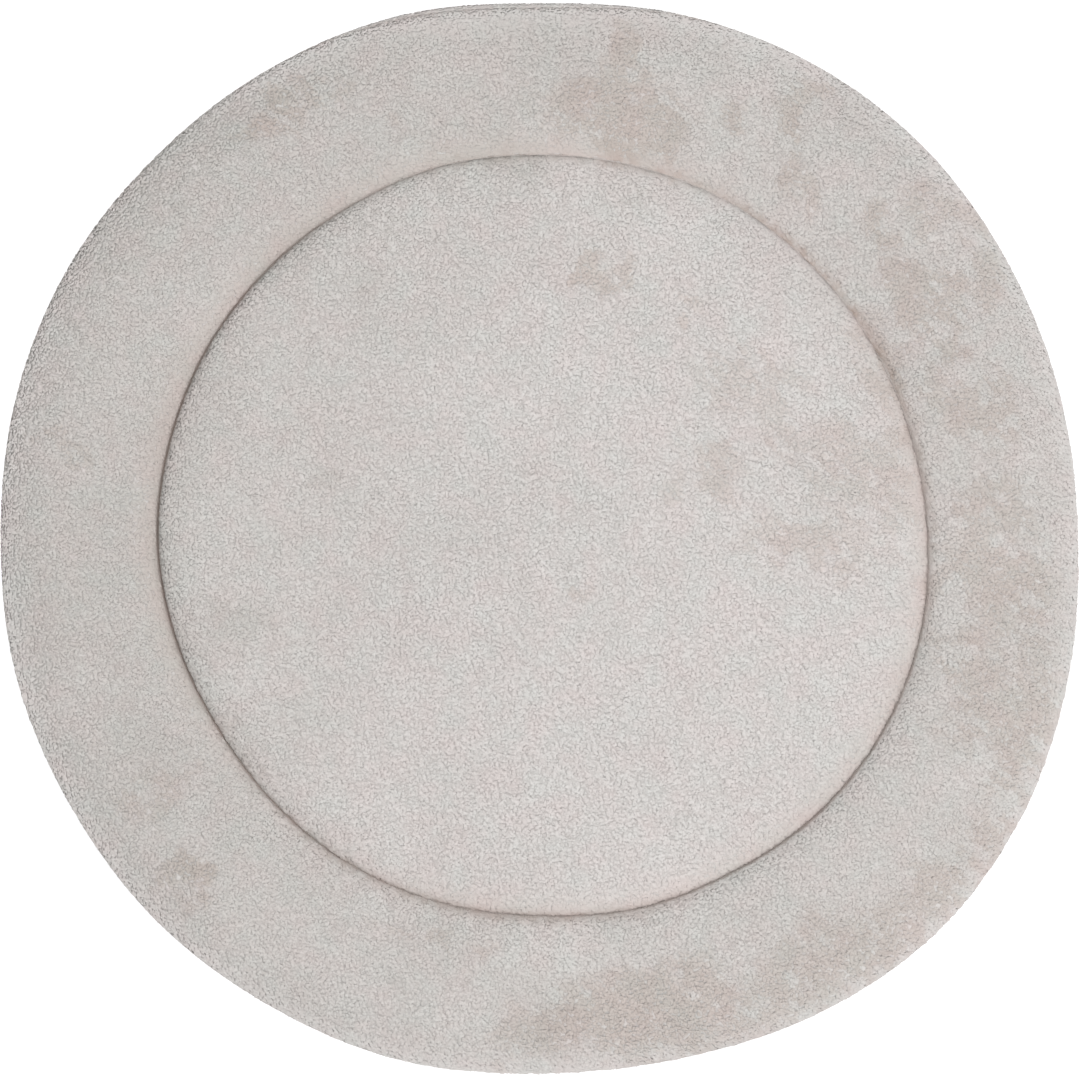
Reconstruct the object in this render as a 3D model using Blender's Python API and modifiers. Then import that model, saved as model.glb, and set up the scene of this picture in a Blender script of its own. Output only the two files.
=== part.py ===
# Round padded play mat in short plush, lying on the floor with its face up.
# Metres, +Z up. The origin is on the floor, under the middle of the mat's box.
#
# A maker cuts two round plush panels. The face panel and its filling are one solid, drawn down in
# a channel where a circle is sewn through every layer. The underside panel lies flat on the floor,
# lifts a little under the channel and curls up round the edge to the seam that joins it to the face.
# Both are turned from a profile and then moved, point by point, to the uneven shape that a soft
# mat lies in. All sizes reach to the tips of the pile.

import bpy
import numpy as np

MAT_NAME = "play_mat"

# Sizes in plan, from the middle of the mat
SEWN_RADIUS = 0.334  # mean radius of the sewn circle
EDGE_RADIUS = 0.475  # mean radius of the mat
CROWN_RADIUS = 0.398  # the ring is thickest from here
EDGE_CROWN_RADIUS = 0.420  # to here, where its edge begins to fall
FOOT_RADIUS = 0.435  # where the edge leaves the floor

# Heights above the floor
DISC_HEIGHT = 0.041
RING_HEIGHT = 0.045
CHANNEL_HEIGHT = 0.013  # the face at the sewn circle
EDGE_HEIGHT = 0.020  # the widest line of the edge

# The underside panel
PANEL_THICKNESS = 0.003
GAP = 0.0003  # between the panel and the filled face, where both are flat
EDGE_GAP = 0.0007  # between them at the seam, where both twist as the seam rises
UNDER_CHANNEL_RISE = 0.005  # how far the sewn circle lifts the panel
UNDER_CHANNEL_REACH = 0.018  # to each side of the circle

# The edge seam
SEAM_DEPTH = 0.002  # how far the seam draws the edge in
SEAM_REACH_DEG = 7.0  # to each side of the seam, as an angle round the edge's section
SEAM_SHOULDER = 0.4  # where the groove has its one middle point, as a share of its reach
SEAM_HALF_GAP_DEG = 0.8  # between the seam's middle and each panel's cut edge
DEEPEST_INSET = 0.006  # no point of the edge lies deeper under its outside than this
LEAST_INSET = -0.001  # a little under zero, so that points on the outside are found
INSET_HALVINGS = 30

# The powers of the crowns' superellipses. A higher first power keeps a crown flat for longer, and a
# higher second power makes its wall at the sewn circle steeper.
DISC_FLATNESS = 16.0
RING_FLATNESS = 4.0
WALL_STEEPNESS = 2.5

# Points round the mat and along its section
TURN_STEPS = 96
DISC_INNER_PLACES = (0.0, 0.2, 0.4, 0.55, 0.68)  # as shares of the disc's radius
DISC_STEPS = 8
RING_INNER_STEPS = 7
EDGE_STEPS = 7
FOOT_STEPS = 8
UNDER_CHANNEL_STEPS = 3
MERGE_DISTANCE = 0.00005

# One section of the ring for each bearing, counted from +X towards +Y.
# Columns: bearing in degrees, reach of the edge, height of the ring, turn of the edge seam in
# degrees above the widest line, reach of the sewn circle.
RING_SECTIONS = (
    (0, 0.470, 0.0440, -24, 0.3372),
    (15, 0.471, 0.0450, -24, 0.3342),
    (30, 0.4745, 0.0460, -24, 0.3338),
    (45, 0.479, 0.0460, -24, 0.3344),
    (60, 0.479, 0.0450, -14, 0.3352),
    (75, 0.475, 0.0440, 8, 0.3346),
    (90, 0.4685, 0.0435, 20, 0.3345),
    (105, 0.474, 0.0445, 20, 0.3363),
    (120, 0.4755, 0.0450, 2, 0.3350),
    (135, 0.475, 0.0455, -16, 0.3351),
    (150, 0.477, 0.0450, -24, 0.3355),
    (165, 0.476, 0.0440, -24, 0.3354),
    (180, 0.473, 0.0435, -24, 0.3348),
    (195, 0.474, 0.0440, -24, 0.3307),
    (210, 0.473, 0.0450, -24, 0.3263),
    (225, 0.474, 0.0455, -24, 0.3272),
    (240, 0.473, 0.0450, -24, 0.3288),
    (255, 0.473, 0.0440, -24, 0.3290),
    (270, 0.468, 0.0435, -24, 0.3286),
    (285, 0.471, 0.0445, -24, 0.3329),
    (300, 0.481, 0.0460, -24, 0.3350),
    (315, 0.4885, 0.0470, -24, 0.3398),
    (330, 0.4857, 0.0465, -24, 0.3417),
    (345, 0.4772, 0.0450, -24, 0.3412),
)

# The filling's soft lumps, as long low waves across the mat.
# Columns: height, wavelength, bearing in degrees, start in degrees.
LUMPS = (
    (0.0012, 0.42, 15, 40),
    (0.0010, 0.27, 80, 200),
    (0.0008, 0.19, 140, 110),
    (0.0005, 0.12, 50, 300),
)
LUMPS_START_HEIGHT = 0.014  # below this the filling is held by the seams and the floor
LUMPS_FULL_HEIGHT = 0.036

FACE_COLOUR = (0.578, 0.546, 0.521, 1.0)
UNDERSIDE_COLOUR = (0.540, 0.508, 0.482, 1.0)
PLUSH_ROUGHNESS = 0.95


def remove_old_objects():
    for thing in list(bpy.data.objects):
        bpy.data.objects.remove(thing, do_unlink=True)


def soft_step(value):
    """0 below 0 and 1 above 1, with a smooth rise between."""
    value = np.clip(value, 0.0, 1.0)
    return value * value * (3.0 - 2.0 * value)


def round_the_mat(bearing_deg, column):
    """A column of RING_SECTIONS at any bearing, on a smooth curve through its rows."""
    rows = np.array([section[column] for section in RING_SECTIONS])
    count = len(rows)
    place = np.asarray(bearing_deg) * count / 360.0
    row = np.floor(place).astype(int)
    part = place - row
    before, here, after, beyond = (rows[(row + step) % count] for step in (-1, 0, 1, 2))
    slope = (after - before) / 2.0
    square = before - 2.5 * here + 2.0 * after - beyond / 2.0
    cube = (beyond - before) / 2.0 + 1.5 * (here - after)
    return here + part * (slope + part * (square + part * cube))


def crown_rise(across, flatness):
    """A crown's height, from 1 in its middle to 0 at the sewn circle, where across is 1."""
    return (1.0 - across**flatness) ** (1.0 / WALL_STEEPNESS)


def crown_places(flatness, steps):
    """Places across a crown from 0 to 1, evenly turned round its shoulder."""
    turn = np.linspace(0.0, np.pi / 2, steps + 1)
    return np.sin(turn) ** (2.0 / flatness)


def disc_points():
    """The disc's crown, from the middle out to the channel."""
    level = [(SEWN_RADIUS * place, DISC_HEIGHT) for place in DISC_INNER_PLACES]
    across = crown_places(DISC_FLATNESS, DISC_STEPS)[1:]
    rise = crown_rise(across, DISC_FLATNESS)
    height = CHANNEL_HEIGHT + (DISC_HEIGHT - CHANNEL_HEIGHT) * rise
    return level + list(zip(SEWN_RADIUS * across, height))


def ring_inner_points():
    """From just past the channel up to the ring's crown, and level on to its edge."""
    across = crown_places(RING_FLATNESS, RING_INNER_STEPS)[::-1][1:]
    rise = crown_rise(across, RING_FLATNESS)
    radius = CROWN_RADIUS - (CROWN_RADIUS - SEWN_RADIUS) * across
    height = CHANNEL_HEIGHT + (RING_HEIGHT - CHANNEL_HEIGHT) * rise
    return list(zip(radius, height)) + [(EDGE_CROWN_RADIUS, RING_HEIGHT)]


def edge_point(angle_deg, inset):
    """A point of the edge's section: a quarter ellipse up to the crown, another down to the foot.

    The angle is 90 at the crown, 0 at the widest line and -90 at the foot. The inset moves the
    point inwards.
    """
    angle = np.radians(angle_deg)
    if angle_deg >= 0.0:
        middle, tall = EDGE_CROWN_RADIUS, RING_HEIGHT - EDGE_HEIGHT
    else:
        middle, tall = FOOT_RADIUS, EDGE_HEIGHT
    radius = middle + (EDGE_RADIUS - middle - inset) * np.cos(angle)
    return radius, EDGE_HEIGHT + (tall - inset) * np.sin(angle)


def seam_inset(angle_deg):
    """How far the edge seam draws in the edge at an angle of its section."""
    nearness = 1.0 - min(abs(angle_deg) / SEAM_REACH_DEG, 1.0)
    return SEAM_DEPTH * nearness**2


def edge_points(angles_deg, inset=0.0):
    """Points of the edge's section, drawn in at the seam."""
    return [edge_point(angle, inset + seam_inset(angle)) for angle in angles_deg]


def underside_points(inset):
    """From the foot of the edge in to the middle, over the rise under the sewn channel."""
    across = np.linspace(1.0, -1.0, 2 * UNDER_CHANNEL_STEPS + 1)
    rise = UNDER_CHANNEL_RISE * (0.5 + 0.5 * np.cos(np.pi * across))
    radius = SEWN_RADIUS + UNDER_CHANNEL_REACH * across
    return list(zip(radius, inset + rise)) + [(0.0, inset)]


def angles_to_seam(start_deg, steps):
    """Section angles from the crown or the foot to the seam, closer together at the seam."""
    end = np.copysign(SEAM_HALF_GAP_DEG, start_deg)
    near = np.copysign(SEAM_REACH_DEG, start_deg)
    return list(np.linspace(start_deg, near, steps)) + [SEAM_SHOULDER * near, end]


def face_profile():
    """The filled face: down its outer side and back in along its underside."""
    top = edge_points(angles_to_seam(90.0, EDGE_STEPS)[1:])
    foot = []
    for angle in np.linspace(SEAM_HALF_GAP_DEG, -90.0, FOOT_STEPS + 1):
        gap = GAP + (EDGE_GAP - GAP) * np.cos(np.radians(angle))
        foot.append(edge_point(angle, PANEL_THICKNESS + gap + seam_inset(angle)))
    under = underside_points(PANEL_THICKNESS + GAP)
    return disc_points() + ring_inner_points() + top + foot + under


def panel_profile():
    """The underside panel: out along its inner side, over the cut edge and back underneath."""
    inner_angles = np.linspace(SEAM_HALF_GAP_DEG, -90.0, FOOT_STEPS + 1)[1:]
    inner_angles = [-SEAM_HALF_GAP_DEG] + list(inner_angles)
    inner = edge_points(inner_angles, PANEL_THICKNESS) + underside_points(PANEL_THICKNESS)
    outer = edge_points(angles_to_seam(-90.0, FOOT_STEPS))[::-1] + underside_points(0.0)
    return inner[::-1] + outer


def turned(name, profile):
    """A mesh object turned from a profile round the mat's middle."""
    mesh = bpy.data.meshes.new(name + "_profile")
    points = [(radius, 0.0, height) for radius, height in profile]
    mesh.from_pydata(points, [(i, i + 1) for i in range(len(points) - 1)], [])
    guide = bpy.data.objects.new(name + "_profile", mesh)
    bpy.context.scene.collection.objects.link(guide)
    screw = guide.modifiers.new("turn", "SCREW")
    screw.steps = TURN_STEPS
    screw.render_steps = TURN_STEPS
    screw.use_merge_vertices = True
    screw.merge_threshold = MERGE_DISTANCE
    evaluated = guide.evaluated_get(bpy.context.evaluated_depsgraph_get())
    turned_mesh = bpy.data.meshes.new_from_object(evaluated)
    turned_mesh.name = name
    bpy.data.objects.remove(guide, do_unlink=True)
    return bpy.data.objects.new(name, turned_mesh)


def edge_shape(upper):
    """The middle radius and height of the edge's upper or lower quarter ellipse."""
    middle = np.where(upper, EDGE_CROWN_RADIUS, FOOT_RADIUS)
    tall = np.where(upper, RING_HEIGHT - EDGE_HEIGHT, EDGE_HEIGHT)
    return middle, tall


def edge_place(radius, height):
    """The section angle and the inset of points in the edge, which undoes edge_point.

    The inset is found by halving the range between the least and the deepest.
    """
    middle, tall = edge_shape(height >= EDGE_HEIGHT)
    out = radius - middle
    up = height - EDGE_HEIGHT
    low = np.full(len(radius), LEAST_INSET)
    high = np.full(len(radius), DEEPEST_INSET)
    for _ in range(INSET_HALVINGS):
        inset = (low + high) / 2.0
        across = np.hypot(out / (EDGE_RADIUS - middle - inset), up / (tall - inset))
        low = np.where(across < 1.0, inset, low)
        high = np.where(across < 1.0, high, inset)
    angle = np.arctan2(up / (tall - inset), out / (EDGE_RADIUS - middle - inset))
    return angle, inset


def rolled_edge(radius, height, turn_deg):
    """The edge's section turned by an angle, so that the seam lies higher or lower on it.

    The crown and the foot stay where they are, and the widest line moves by the whole angle.
    """
    angle, inset = edge_place(radius, height)
    angle = angle + np.radians(turn_deg) * np.cos(angle) ** 2
    middle, tall = edge_shape(angle >= 0.0)
    new_radius = middle + (EDGE_RADIUS - middle - inset) * np.cos(angle)
    return new_radius, EDGE_HEIGHT + (tall - inset) * np.sin(angle)


def lain_shape(points):
    """Moves turned points to the shape of the mat as it lies: seam, outline, crown and lumps."""
    x, y, height = points.T
    bearing_deg = np.degrees(np.arctan2(y, x))
    radius = np.hypot(x, y)

    in_edge = radius > np.where(height >= EDGE_HEIGHT, EDGE_CROWN_RADIUS, FOOT_RADIUS)
    seam_turn = round_the_mat(bearing_deg, 3)
    rolled_radius, rolled_height = rolled_edge(radius, height, seam_turn)
    radius = np.where(in_edge, rolled_radius, radius)
    height = np.where(in_edge, rolled_height, height)

    free = soft_step((height - LUMPS_START_HEIGHT) / (LUMPS_FULL_HEIGHT - LUMPS_START_HEIGHT))
    in_ring = soft_step((radius - SEWN_RADIUS) / (CROWN_RADIUS - SEWN_RADIUS))
    rise = in_ring * (round_the_mat(bearing_deg, 2) - RING_HEIGHT)

    sewn = round_the_mat(bearing_deg, 4)
    edge = round_the_mat(bearing_deg, 1)
    past_sewn = (radius - SEWN_RADIUS) / (EDGE_RADIUS - SEWN_RADIUS)
    in_disc = radius <= SEWN_RADIUS
    radius = np.where(in_disc, radius * sewn / SEWN_RADIUS, sewn + past_sewn * (edge - sewn))
    x = radius * np.cos(np.radians(bearing_deg))
    y = radius * np.sin(np.radians(bearing_deg))

    for tall, wavelength, lump_deg, start_deg in LUMPS:
        along = x * np.cos(np.radians(lump_deg)) + y * np.sin(np.radians(lump_deg))
        rise = rise + tall * np.sin(2.0 * np.pi * along / wavelength + np.radians(start_deg))
    return np.stack([x, y, height + free * rise], axis=1)


def mesh_points(mesh):
    points = np.empty(3 * len(mesh.vertices))
    mesh.vertices.foreach_get("co", points)
    return points.reshape(-1, 3)


def set_mesh_points(mesh, points):
    mesh.vertices.foreach_set("co", points.ravel())
    mesh.update()


def plush(name, colour):
    """Matt plush material."""
    material = bpy.data.materials.new(name)
    material.use_nodes = True
    shader = material.node_tree.nodes["Principled BSDF"]
    shader.inputs["Base Color"].default_value = colour
    shader.inputs["Roughness"].default_value = PLUSH_ROUGHNESS
    shader.inputs["Metallic"].default_value = 0.0
    material.diffuse_color = colour
    return material


def make_filled_face():
    face = turned("filled_face", face_profile())
    face.data.materials.append(plush("face_plush", FACE_COLOUR))
    return face


def make_underside_panel():
    panel = turned("underside_panel", panel_profile())
    panel.data.materials.append(plush("underside_plush", UNDERSIDE_COLOUR))
    return panel


def main():
    remove_old_objects()
    mat = bpy.data.collections.new(MAT_NAME)
    bpy.context.scene.collection.children.link(mat)
    pieces = [make_filled_face(), make_underside_panel()]

    shapes = [lain_shape(mesh_points(piece.data)) for piece in pieces]
    everything = np.vstack(shapes)
    middle = (everything.min(axis=0) + everything.max(axis=0)) / 2.0
    middle[2] = 0.0
    for piece, points in zip(pieces, shapes):
        set_mesh_points(piece.data, points - middle)
        piece.data.shade_smooth()
        mat.objects.link(piece)


main()
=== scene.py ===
# Round padded play mat in short combed plush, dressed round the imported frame.
# Metres, +Z up. The mat lies on the floor with its face up.

import math

import bpy
import numpy as np
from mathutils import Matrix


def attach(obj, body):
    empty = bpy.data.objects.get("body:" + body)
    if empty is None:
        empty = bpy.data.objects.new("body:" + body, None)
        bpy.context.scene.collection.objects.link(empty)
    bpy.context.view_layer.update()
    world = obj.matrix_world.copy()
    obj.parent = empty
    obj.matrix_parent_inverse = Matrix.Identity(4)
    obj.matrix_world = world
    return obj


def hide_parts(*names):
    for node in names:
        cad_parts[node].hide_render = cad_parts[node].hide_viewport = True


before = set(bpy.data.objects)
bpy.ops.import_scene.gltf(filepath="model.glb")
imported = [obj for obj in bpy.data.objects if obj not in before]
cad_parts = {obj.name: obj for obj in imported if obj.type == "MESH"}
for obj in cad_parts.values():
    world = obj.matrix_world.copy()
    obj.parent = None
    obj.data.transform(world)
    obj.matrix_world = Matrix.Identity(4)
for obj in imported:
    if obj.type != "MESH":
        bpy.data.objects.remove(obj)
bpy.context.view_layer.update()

# The mat's own sizes, which are the solids' sizes. They reach to the tips of the pile.
mat = {
    "sewnRadius": 0.334,
    "edgeRadius": 0.475,
    "crownRadius": 0.398,
    "edgeCrownRadius": 0.420,
    "footRadius": 0.435,
    "discHeight": 0.041,
    "ringHeight": 0.045,
    "channelHeight": 0.013,
    "edgeHeight": 0.020,
    "discFlatness": 20.0,
    "ringFlatness": 4.5,
    "wallSteepness": 4.5,  # the pile fills the crease more than the cloth under it
    "panelThickness": 0.003,
    "gap": 0.0003,
    "underChannelRise": 0.005,
    "underChannelReach": 0.018,
    "lumpsStart": 0.014,
    "lumpsFull": 0.036,
}

# bearing in degrees, reach of the edge, height of the ring, turn of the edge seam in degrees,
# reach of the sewn circle
ringSections = (
    (0, 0.470, 0.0440, -24, 0.3372),
    (15, 0.471, 0.0450, -24, 0.3342),
    (30, 0.4745, 0.0460, -24, 0.3338),
    (45, 0.479, 0.0460, -24, 0.3344),
    (60, 0.479, 0.0450, -10, 0.3352),
    (75, 0.475, 0.0440, 15, 0.3337),
    (90, 0.4685, 0.0435, 26, 0.3334),
    (105, 0.474, 0.0445, 24, 0.3355),
    (120, 0.4755, 0.0450, 4, 0.3342),
    (135, 0.475, 0.0455, -16, 0.3343),
    (150, 0.477, 0.0450, -24, 0.3347),
    (165, 0.476, 0.0440, -24, 0.3344),
    (180, 0.473, 0.0435, -24, 0.3339),
    (195, 0.4752, 0.0440, -24, 0.3299),
    (210, 0.4737, 0.0450, -24, 0.3263),
    (225, 0.4747, 0.0455, -24, 0.3272),
    (240, 0.473, 0.0450, -24, 0.3288),
    (255, 0.473, 0.0440, -24, 0.3290),
    (270, 0.468, 0.0435, -24, 0.3286),
    (285, 0.471, 0.0445, -24, 0.3329),
    (300, 0.481, 0.0460, -24, 0.3350),
    (315, 0.4885, 0.0470, -24, 0.3398),
    (330, 0.4857, 0.0465, -24, 0.3417),
    (345, 0.4772, 0.0450, -24, 0.3412),
)

# bearing in degrees, half width of the open crease at the sewn circle, less than nothing where the
# pile meets over it, how deep it is open below the crowns, and how much painted shadow lies on the
# pile beside it, on the disc and on the ring
creaseSections = (
    (0, 0.0000, 0.015, 0.25, 0.35),
    (45, -0.0005, 0.008, 0.00, 0.75),
    (90, -0.0006, 0.006, 0.30, 0.00),
    (135, 0.0004, 0.019, 0.00, 0.00),
    (180, 0.0006, 0.025, 0.00, 0.10),
    (225, 0.0004, 0.020, 0.40, 0.45),
    (270, -0.0002, 0.015, 0.50, 0.50),
    (315, 0.0004, 0.018, 0.15, 0.00),
)

# height, wavelength, bearing and start of the filling's long lumps
lumps = (
    (0.0012, 0.42, 15, 40),
    (0.0010, 0.27, 80, 200),
    (0.0008, 0.19, 140, 110),
    (0.0005, 0.12, 50, 300),
)

# Places where the pile was stroked another way, seen from above.
# x and y of the middle, half length, half width, turn in degrees, how much darker and pinker
strokedPatches = (
    (0.057, 0.372, 0.055, 0.024, -10, 1.0),
    (0.071, 0.414, 0.036, 0.011, 95, 0.9),
    (0.098, 0.348, 0.032, 0.016, -30, 0.9),
    (0.157, 0.372, 0.013, 0.010, 0, 0.8),
    (0.232, 0.367, 0.036, 0.014, 80, 0.9),
    (0.223, 0.310, 0.030, 0.011, 85, 0.8),
    (0.294, 0.268, 0.022, 0.011, -20, 0.9),
    (0.350, 0.282, 0.034, 0.012, -20, 0.7),
    (0.331, 0.197, 0.046, 0.022, -45, 0.9),
    (0.383, 0.220, 0.032, 0.020, -50, 0.8),
    (0.374, 0.112, 0.042, 0.022, -30, 0.8),
    (0.388, 0.027, 0.046, 0.026, 10, 0.8),
    (0.398, -0.040, 0.050, 0.036, -60, 0.9),
    (0.379, -0.115, 0.050, 0.028, -80, 0.8),
    (0.412, -0.172, 0.062, 0.025, 75, 0.8),
    (0.369, -0.286, 0.072, 0.030, 45, 0.8),
    (0.246, -0.371, 0.090, 0.030, 25, 0.8),
    (0.095, -0.408, 0.105, 0.032, 5, 1.0),
    (0.046, 0.230, 0.020, 0.011, 45, 1.0),
    (0.119, 0.201, 0.018, 0.010, -10, 0.8),
    (0.180, 0.145, 0.032, 0.026, -30, 0.65),
    (0.147, 0.064, 0.032, 0.022, -20, 0.75),
    (0.208, 0.102, 0.042, 0.022, -40, 0.55),
    (0.275, 0.055, 0.046, 0.034, -60, 0.70),
    (0.232, -0.007, 0.044, 0.024, -10, 0.75),
    (0.308, 0.055, 0.056, 0.015, 90, 0.65),
    (0.294, 0.159, 0.052, 0.020, -60, 0.65),
    (0.029, -0.040, 0.016, 0.011, 0, 0.6),
    (-0.302, -0.290, 0.018, 0.018, 0, 1.0),
    (-0.330, -0.210, 0.022, 0.014, 60, 0.55),
    (-0.236, 0.372, 0.034, 0.013, 35, 0.9),
    (-0.185, 0.392, 0.016, 0.010, 30, 0.75),
    (-0.401, 0.083, 0.032, 0.008, -10, 0.6),
    (-0.094, 0.348, 0.014, 0.008, 20, 0.6),
    (-0.085, -0.345, 0.050, 0.008, -12, 0.6),
)

# Places of painted shade, greyer and not pinker: a shadowed cleft, a dark band at the upper left, and grey smudges,
# with the same columns
paintedShadeAndSmudgePatches = (
    (-0.331, 0.310, 0.090, 0.035, 45, 1.0),
    (-0.416, 0.216, 0.050, 0.020, 70, 0.7),
    (-0.302, -0.290, 0.014, 0.016, 0, 1.0),
    (-0.171, 0.046, 0.022, 0.015, 20, 0.7),
    (-0.270, -0.058, 0.036, 0.020, -30, 0.6),
    (-0.020, 0.329, 0.032, 0.012, 0, 0.7),
    (-0.147, 0.249, 0.030, 0.020, 30, 0.5),
    (0.084, 0.291, 0.024, 0.018, 60, 0.5),
    (-0.407, -0.039, 0.040, 0.020, 80, 0.4),
    (-0.265, -0.162, 0.050, 0.012, -55, 0.6),
    (-0.010, -0.030, 0.030, 0.010, -40, 0.4),
    (0.020, 0.100, 0.026, 0.010, 35, 0.3),
)


def softStep(value):
    # 0 below 0, 1 above 1, and 3 v squared less 2 v cubed between
    value = np.clip(value, 0.0, 1.0)
    return value * value * (3.0 - 2.0 * value)


def roundTheMat(bearingDeg, column, sections=ringSections):
    # a column of a table of sections at any bearing, on a cubic through the four nearest rows
    rows = np.array([section[column] for section in sections])
    place = np.asarray(bearingDeg) * len(rows) / 360.0
    row = np.floor(place).astype(int)
    part = place - row
    before, here, after, beyond = (rows[(row + step) % len(rows)] for step in (-1, 0, 1, 2))
    slope = (after - before) / 2.0
    square = before - 2.5 * here + 2.0 * after - beyond / 2.0
    cube = (beyond - before) / 2.0 + 1.5 * (here - after)
    return here + part * (slope + part * (square + part * cube))


def sewnReach(bearingDeg):
    return roundTheMat(bearingDeg, 4)


def matMiddle():
    # the turning middle of the mat, so that the solids' box is centred on the origin
    bearing = np.radians(np.arange(96) * 3.75)
    reach = roundTheMat(np.degrees(bearing), 1)
    x, y = reach * np.cos(bearing), reach * np.sin(bearing)
    return -(x.min() + x.max()) / 2.0, -(y.min() + y.max()) / 2.0


middleX, middleY = matMiddle()


def edgePlace(angle, inset):
    # the edge's section: a quarter ellipse from crown to widest line, another on to the foot,
    # each with its half axes made shorter by the inset
    upper = angle >= 0.0
    middle = np.where(upper, mat["edgeCrownRadius"], mat["footRadius"])
    tall = np.where(upper, mat["ringHeight"] - mat["edgeHeight"], mat["edgeHeight"])
    radius = middle + (mat["edgeRadius"] - middle - inset) * np.cos(angle)
    return radius, mat["edgeHeight"] + (tall - inset) * np.sin(angle)


def lainShape(radius, height, bearingDeg):
    # turned points moved to the mat's uneven outline, ring height and lumps
    free = softStep((height - mat["lumpsStart"]) / (mat["lumpsFull"] - mat["lumpsStart"]))
    inRing = softStep((radius - mat["sewnRadius"]) / (mat["crownRadius"] - mat["sewnRadius"]))
    rise = inRing * (roundTheMat(bearingDeg, 2) - mat["ringHeight"])
    sewn, edge = sewnReach(bearingDeg), roundTheMat(bearingDeg, 1)
    past = (radius - mat["sewnRadius"]) / (mat["edgeRadius"] - mat["sewnRadius"])
    inDisc = radius <= mat["sewnRadius"]
    radius = np.where(inDisc, radius * sewn / mat["sewnRadius"], sewn + past * (edge - sewn))
    x = radius * np.cos(np.radians(bearingDeg))
    y = radius * np.sin(np.radians(bearingDeg))
    for tall, wavelength, lumpDeg, startDeg in lumps:
        along = x * math.cos(math.radians(lumpDeg)) + y * math.sin(math.radians(lumpDeg))
        rise = rise + tall * np.sin(2.0 * np.pi * along / wavelength + math.radians(startDeg))
    return np.stack([x + middleX, y + middleY, height + free * rise], axis=-1)


# How the cloth lies under the pile and how the grids are cut
cloth = {
    "pileDepth": 0.0019,  # from the cloth up to the tips
    "rimDepth": 0.0014,
    "pressedReach": 0.014,  # on each side of the sewn circle the pile gets shorter over this
    "pressedLeast": 0.15,  # down to this share
    "slopeStep": 0.0004,
    "seamDepth": 0.0003,
    "seamReach": 0.003,
    "bearings": 360,
    "faceRows": 60,
    "footRows": 6,
    "puckers": 66,  # small gathers round the sewn circle
    "puckerWander": 7.0,
    "puckerHeight": 0.0007,
    "puckerStart": 0.006,
    "puckerReach": 0.022,
}


def crownRise(across, flatness):
    # a superellipse: 1 in the crown's middle, 0 at the sewn circle where across is 1
    return np.maximum(1.0 - across**flatness, 0.0) ** (1.0 / mat["wallSteepness"])


def faceLine(steps):
    # the pile tips' section from the middle to the seam: the disc's superellipse, the ring's up to
    # its crown, level to the edge's crown, and a quarter ellipse down to the widest line.
    # Gives radius, height, section angle in the edge, length along, and where circle and edge are.
    turn = np.linspace(0.0, np.pi / 2.0, steps)
    low = mat["channelHeight"]
    across = np.concatenate([np.linspace(0.0, 0.7, steps)[:-1], 0.7 + 0.3 * np.sin(turn)])
    radius = [mat["sewnRadius"] * across]
    height = [low + (mat["discHeight"] - low) * crownRise(across, mat["discFlatness"])]
    across = np.cos(turn[1:])
    radius.append(mat["crownRadius"] - (mat["crownRadius"] - mat["sewnRadius"]) * across)
    height.append(low + (mat["ringHeight"] - low) * crownRise(across, mat["ringFlatness"]))
    angle = np.pi / 2.0 - turn
    edgeRadius, edgeHeight = edgePlace(angle, 0.0)
    radius, height = np.concatenate(radius + [edgeRadius]), np.concatenate(height + [edgeHeight])
    angle = np.concatenate([np.full(len(radius) - steps, np.pi / 2.0), angle])
    along = np.concatenate([[0.0], np.cumsum(np.hypot(np.diff(radius), np.diff(height)))])
    return radius, height, angle, along, along[2 * steps - 2], along[-steps]


lineRadius, lineHeight, lineAngle, lineAlong, sewnAlong, edgeAlong = faceLine(500)
faceLength = lineAlong[-1]


def pileDepth(along):
    # from the cloth up to the tips, more at the rim, where the pile stands out sideways
    rim = softStep((along - edgeAlong) / (faceLength - edgeAlong))
    return cloth["pileDepth"] + (cloth["rimDepth"] - cloth["pileDepth"]) * rim


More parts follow.
